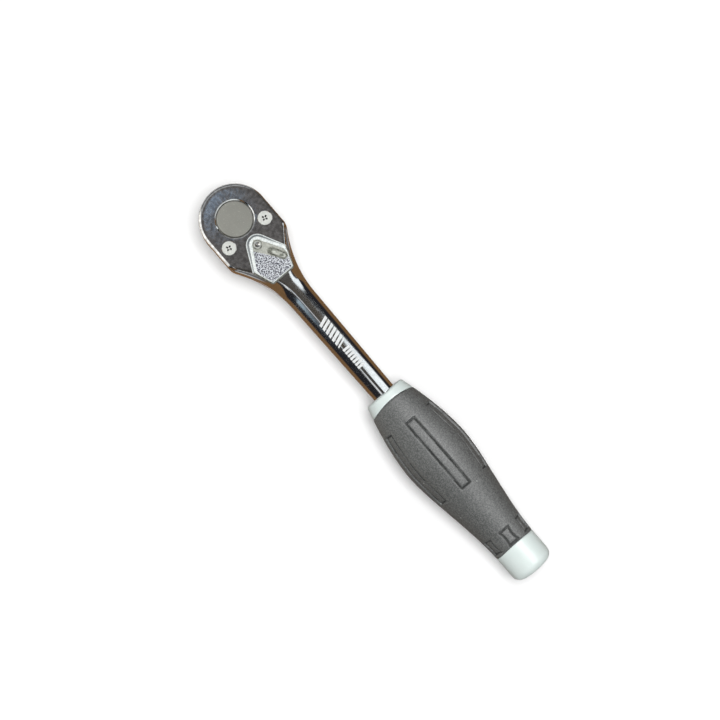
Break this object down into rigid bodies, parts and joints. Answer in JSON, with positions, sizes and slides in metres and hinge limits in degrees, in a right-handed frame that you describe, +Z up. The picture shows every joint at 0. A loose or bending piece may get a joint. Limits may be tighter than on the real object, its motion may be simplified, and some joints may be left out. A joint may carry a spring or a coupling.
{
  "type": "ratchet wrench",
  "caption": "Reversible square-drive ratchet wrench: pear-shaped head with a thumb lever, round steel shank and a thick soft grip with a pale collar and end cap.",
  "frame": {"origin": "centre of the square drive's end face, on the drive axis", "axes": "+X along the handle towards its end cap, +Z up along the drive axis through the head towards the reversing lever, +Y across the head"},
  "size_m": [0.2, 0.029, 0.0311],
  "materials": {
    "forging": "polished chrome plate on forged steel",
    "plate": "polished chrome plate",
    "screws": "bright zinc plated steel",
    "drive": "satin nickel plated steel",
    "hardened": "hardened and ground steel",
    "spring_wire": "drawn spring wire",
    "washer": "stamped steel",
    "lever": "bright plated casting with a stippled field",
    "pale_plastic": "pale green-white moulded plastic, semi-gloss",
    "soft_black": "matt black soft moulding with a fine grain"
  },
  "bodies": {
    "housing": {"forged_body": "forging", "cover_plate": "plate", "cover_screw_left": "screws", "cover_screw_right": "screws", "thrust_washer": "washer", "pivot_pin": "hardened", "grip_core": "pale_plastic", "grip_sleeve": "soft_black", "end_cap": "pale_plastic"},
    "drive": {"drive_gear": "drive", "detent_spring": "spring_wire"},
    "ball": {"detent_ball": "hardened"},
    "lever": {"reverse_lever": "lever", "selector_spring": "spring_wire"},
    "plunger": {"selector_plunger": "hardened"},
    "rocker": {"pawl": "hardened"}
  },
  "joints": [
    {"name": "drive_spin", "type": "hinge", "parent": "housing", "child": "drive", "pos_m": [0, 0, 0.0168], "axis": [0, 0, 1], "continuous": true},
    {"name": "lever_swing", "type": "hinge", "parent": "housing", "child": "lever", "pos_m": [0.0139, 0, 0.0227], "axis": [0, 0, 1], "range_deg": [-14, 14]},
    {"name": "pawl_rock", "type": "hinge", "parent": "housing", "child": "rocker", "pos_m": [0.0139, 0, 0.0168], "axis": [0, 0, 1], "range_deg": [-7, 7]},
    {"name": "ball_press", "type": "slide", "parent": "drive", "child": "ball", "axis": [1, 0, 0], "range_m": [0, 0.0007], "stiffness_N_per_m": 2000, "springref_m": -0.001, "deforming": ["detent_spring"]},
    {"name": "plunger_press", "type": "slide", "parent": "lever", "child": "plunger", "axis": [1, 0, 0], "range_m": [0, 0.0004], "stiffness_N_per_m": 1500, "springref_m": -0.0008, "deforming": ["selector_spring"]}
  ],
  "couplings": [
    {"joint": "pawl_rock", "follows": "lever_swing", "ratio": -0.5}
  ]
}
